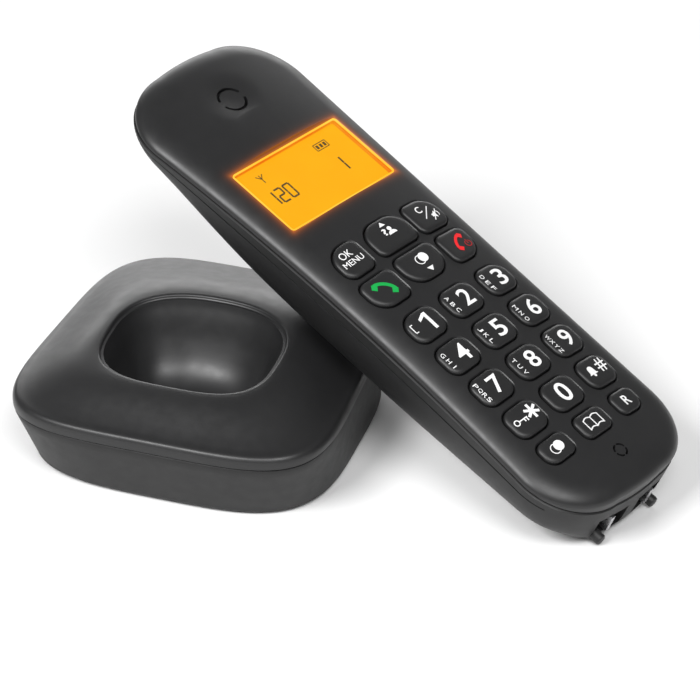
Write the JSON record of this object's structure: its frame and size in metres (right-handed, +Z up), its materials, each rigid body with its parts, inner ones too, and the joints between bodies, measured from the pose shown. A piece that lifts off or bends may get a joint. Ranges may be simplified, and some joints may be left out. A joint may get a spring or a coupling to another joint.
{
  "type": "cordless phone with base",
  "caption": "Cordless telephone: a low rounded charging base with a cradle well, and its keypad handset lying across the base's right shoulder with a backlit display.",
  "frame": {"origin": "on the floor, under the middle of the extents of the base and the handset together", "axes": "+Z up; -Y towards the front of the base; +X towards the side on which the handset lies; the handset's face leans up and to the right"},
  "size_m": [0.163, 0.1076, 0.0789],
  "materials": {
    "base_top_shell": "matt charcoal ABS with a fine grain",
    "base_bottom_shell": "matt charcoal ABS with a fine grain",
    "handset_front_case": "matt charcoal ABS with a fine grain",
    "handset_rear_case": "matt charcoal ABS with a fine grain",
    "battery_door": "matt charcoal ABS with a fine grain",
    "key_ok_menu": "matt charcoal key cap with a printed legend",
    "key_up": "matt charcoal key cap with a printed legend",
    "key_clear_mute": "matt charcoal key cap with a printed legend",
    "key_call": "matt charcoal key cap with a printed legend",
    "key_down": "matt charcoal key cap with a printed legend",
    "key_end": "matt charcoal key cap with a printed legend",
    "key_1": "matt charcoal key cap with a printed legend",
    "key_2": "matt charcoal key cap with a printed legend",
    "key_3": "matt charcoal key cap with a printed legend",
    "key_4": "matt charcoal key cap with a printed legend",
    "key_5": "matt charcoal key cap with a printed legend",
    "key_6": "matt charcoal key cap with a printed legend",
    "key_7": "matt charcoal key cap with a printed legend",
    "key_8": "matt charcoal key cap with a printed legend",
    "key_9": "matt charcoal key cap with a printed legend",
    "key_star": "matt charcoal key cap with a printed legend",
    "key_0": "matt charcoal key cap with a printed legend",
    "key_hash": "matt charcoal key cap with a printed legend",
    "key_redial": "matt charcoal key cap with a printed legend",
    "key_phonebook": "matt charcoal key cap with a printed legend",
    "key_recall": "matt charcoal key cap with a printed legend",
    "page_button": "matt dark plastic",
    "phone_line_socket": "moulded dark plastic",
    "power_socket": "moulded dark plastic",
    "earpiece_speaker": "moulded dark plastic",
    "ringer_speaker": "moulded dark plastic",
    "base_foot_1": "soft dark rubber",
    "base_foot_2": "soft dark rubber",
    "base_foot_3": "soft dark rubber",
    "base_foot_4": "soft dark rubber",
    "keypad_mat": "silicone rubber",
    "base_screw_1": "plated steel",
    "base_screw_2": "plated steel",
    "base_screw_3": "plated steel",
    "base_screw_4": "plated steel",
    "handset_screw_1": "plated steel",
    "handset_screw_2": "plated steel",
    "charge_strip_left": "plated steel",
    "charge_strip_right": "plated steel",
    "battery_contact_upper": "plated steel",
    "battery_contact_lower": "plated steel",
    "microphone": "plated steel",
    "base_contact_left": "gold plated",
    "base_contact_right": "gold plated",
    "base_circuit_board": "green solder mask",
    "handset_circuit_board": "green solder mask",
    "display_window": "clear window over an amber backlight",
    "lcd_panel": "amber backlit panel",
    "battery_cell_left": "shrink sleeve",
    "battery_cell_right": "shrink sleeve"
  },
  "bodies": {
    "base": {"base_top_shell": "base_top_shell", "base_bottom_shell": "base_bottom_shell", "base_circuit_board": "base_circuit_board", "phone_line_socket": "phone_line_socket", "power_socket": "power_socket", "base_foot_1": "base_foot_1", "base_foot_2": "base_foot_2", "base_foot_3": "base_foot_3", "base_foot_4": "base_foot_4", "base_screw_1": "base_screw_1", "base_screw_2": "base_screw_2", "base_screw_3": "base_screw_3", "base_screw_4": "base_screw_4"},
    "handset": {"handset_front_case": "handset_front_case", "handset_rear_case": "handset_rear_case", "display_window": "display_window", "lcd_panel": "lcd_panel", "keypad_mat": "keypad_mat", "handset_circuit_board": "handset_circuit_board", "earpiece_speaker": "earpiece_speaker", "microphone": "microphone", "ringer_speaker": "ringer_speaker", "battery_cell_left": "battery_cell_left", "battery_cell_right": "battery_cell_right", "battery_contact_upper": "battery_contact_upper", "battery_contact_lower": "battery_contact_lower", "charge_strip_left": "charge_strip_left", "charge_strip_right": "charge_strip_right", "handset_screw_1": "handset_screw_1", "handset_screw_2": "handset_screw_2"},
    "battery_door": {"battery_door": "battery_door"},
    "page_button": {"page_button": "page_button"},
    "base_contact_left": {"base_contact_left": "base_contact_left"},
    "base_contact_right": {"base_contact_right": "base_contact_right"},
    "key_ok_menu": {"key_ok_menu": "key_ok_menu"},
    "key_up": {"key_up": "key_up"},
    "key_clear_mute": {"key_clear_mute": "key_clear_mute"},
    "key_call": {"key_call": "key_call"},
    "key_down": {"key_down": "key_down"},
    "key_end": {"key_end": "key_end"},
    "key_1": {"key_1": "key_1"},
    "key_2": {"key_2": "key_2"},
    "key_3": {"key_3": "key_3"},
    "key_4": {"key_4": "key_4"},
    "key_5": {"key_5": "key_5"},
    "key_6": {"key_6": "key_6"},
    "key_7": {"key_7": "key_7"},
    "key_8": {"key_8": "key_8"},
    "key_9": {"key_9": "key_9"},
    "key_star": {"key_star": "key_star"},
    "key_0": {"key_0": "key_0"},
    "key_hash": {"key_hash": "key_hash"},
    "key_redial": {"key_redial": "key_redial"},
    "key_phonebook": {"key_phonebook": "key_phonebook"},
    "key_recall": {"key_recall": "key_recall"}
  },
  "joints": [
    {"name": "handset_lift", "type": "slide", "parent": "base", "child": "handset", "axis": [0, 0, 1], "range_m": [0, 0.12]},
    {"name": "battery_door_off", "type": "slide", "parent": "handset", "child": "battery_door", "axis": [-0.3613, 0.1401, -0.9219], "range_m": [0, 0.0025]},
    {"name": "page_press", "type": "slide", "parent": "base", "child": "page_button", "axis": [0, -1, 0], "range_m": [0, 0.0008], "stiffness_N_per_m": 300},
    {"name": "base_contact_left_spring", "type": "slide", "parent": "base", "child": "base_contact_left", "axis": [0, 0, -1], "range_m": [0, 0.0012], "stiffness_N_per_m": 150},
    {"name": "base_contact_right_spring", "type": "slide", "parent": "base", "child": "base_contact_right", "axis": [0, 0, -1], "range_m": [0, 0.0012], "stiffness_N_per_m": 150},
    {"name": "key_ok_menu_press", "type": "slide", "parent": "handset", "child": "key_ok_menu", "axis": [-0.3613, 0.1401, -0.9219], "range_m": [0, 0.0005], "stiffness_N_per_m": 300},
    {"name": "key_up_press", "type": "slide", "parent": "handset", "child": "key_up", "axis": [-0.3613, 0.1401, -0.9219], "range_m": [0, 0.0005], "stiffness_N_per_m": 300},
    {"name": "key_clear_mute_press", "type": "slide", "parent": "handset", "child": "key_clear_mute", "axis": [-0.3613, 0.1401, -0.9219], "range_m": [0, 0.0005], "stiffness_N_per_m": 300},
    {"name": "key_call_press", "type": "slide", "parent": "handset", "child": "key_call", "axis": [-0.3613, 0.1401, -0.9219], "range_m": [0, 0.0005], "stiffness_N_per_m": 300},
    {"name": "key_down_press", "type": "slide", "parent": "handset", "child": "key_down", "axis": [-0.3613, 0.1401, -0.9219], "range_m": [0, 0.0005], "stiffness_N_per_m": 300},
    {"name": "key_end_press", "type": "slide", "parent": "handset", "child": "key_end", "axis": [-0.3613, 0.1401, -0.9219], "range_m": [0, 0.0005], "stiffness_N_per_m": 300},
    {"name": "key_1_press", "type": "slide", "parent": "handset", "child": "key_1", "axis": [-0.3613, 0.1401, -0.9219], "range_m": [0, 0.0005], "stiffness_N_per_m": 300},
    {"name": "key_2_press", "type": "slide", "parent": "handset", "child": "key_2", "axis": [-0.3613, 0.1401, -0.9219], "range_m": [0, 0.0005], "stiffness_N_per_m": 300},
    {"name": "key_3_press", "type": "slide", "parent": "handset", "child": "key_3", "axis": [-0.3613, 0.1401, -0.9219], "range_m": [0, 0.0005], "stiffness_N_per_m": 300},
    {"name": "key_4_press", "type": "slide", "parent": "handset", "child": "key_4", "axis": [-0.3613, 0.1401, -0.9219], "range_m": [0, 0.0005], "stiffness_N_per_m": 300},
    {"name": "key_5_press", "type": "slide", "parent": "handset", "child": "key_5", "axis": [-0.3613, 0.1401, -0.9219], "range_m": [0, 0.0005], "stiffness_N_per_m": 300},
    {"name": "key_6_press", "type": "slide", "parent": "handset", "child": "key_6", "axis": [-0.3613, 0.1401, -0.9219], "range_m": [0, 0.0005], "stiffness_N_per_m": 300},
    {"name": "key_7_press", "type": "slide", "parent": "handset", "child": "key_7", "axis": [-0.3613, 0.1401, -0.9219], "range_m": [0, 0.0005], "stiffness_N_per_m": 300},
    {"name": "key_8_press", "type": "slide", "parent": "handset", "child": "key_8", "axis": [-0.3613, 0.1401, -0.9219], "range_m": [0, 0.0005], "stiffness_N_per_m": 300},
    {"name": "key_9_press", "type": "slide", "parent": "handset", "child": "key_9", "axis": [-0.3613, 0.1401, -0.9219], "range_m": [0, 0.0005], "stiffness_N_per_m": 300},
    {"name": "key_star_press", "type": "slide", "parent": "handset", "child": "key_star", "axis": [-0.3613, 0.1401, -0.9219], "range_m": [0, 0.0005], "stiffness_N_per_m": 300},
    {"name": "key_0_press", "type": "slide", "parent": "handset", "child": "key_0", "axis": [-0.3613, 0.1401, -0.9219], "range_m": [0, 0.0005], "stiffness_N_per_m": 300},
    {"name": "key_hash_press", "type": "slide", "parent": "handset", "child": "key_hash", "axis": [-0.3613, 0.1401, -0.9219], "range_m": [0, 0.0005], "stiffness_N_per_m": 300},
    {"name": "key_redial_press", "type": "slide", "parent": "handset", "child": "key_redial", "axis": [-0.3613, 0.1401, -0.9219], "range_m": [0, 0.0005], "stiffness_N_per_m": 300},
    {"name": "key_phonebook_press", "type": "slide", "parent": "handset", "child": "key_phonebook", "axis": [-0.3613, 0.1401, -0.9219], "range_m": [0, 0.0005], "stiffness_N_per_m": 300},
    {"name": "key_recall_press", "type": "slide", "parent": "handset", "child": "key_recall", "axis": [-0.3613, 0.1401, -0.9219], "range_m": [0, 0.0005], "stiffness_N_per_m": 300}
  ]
}
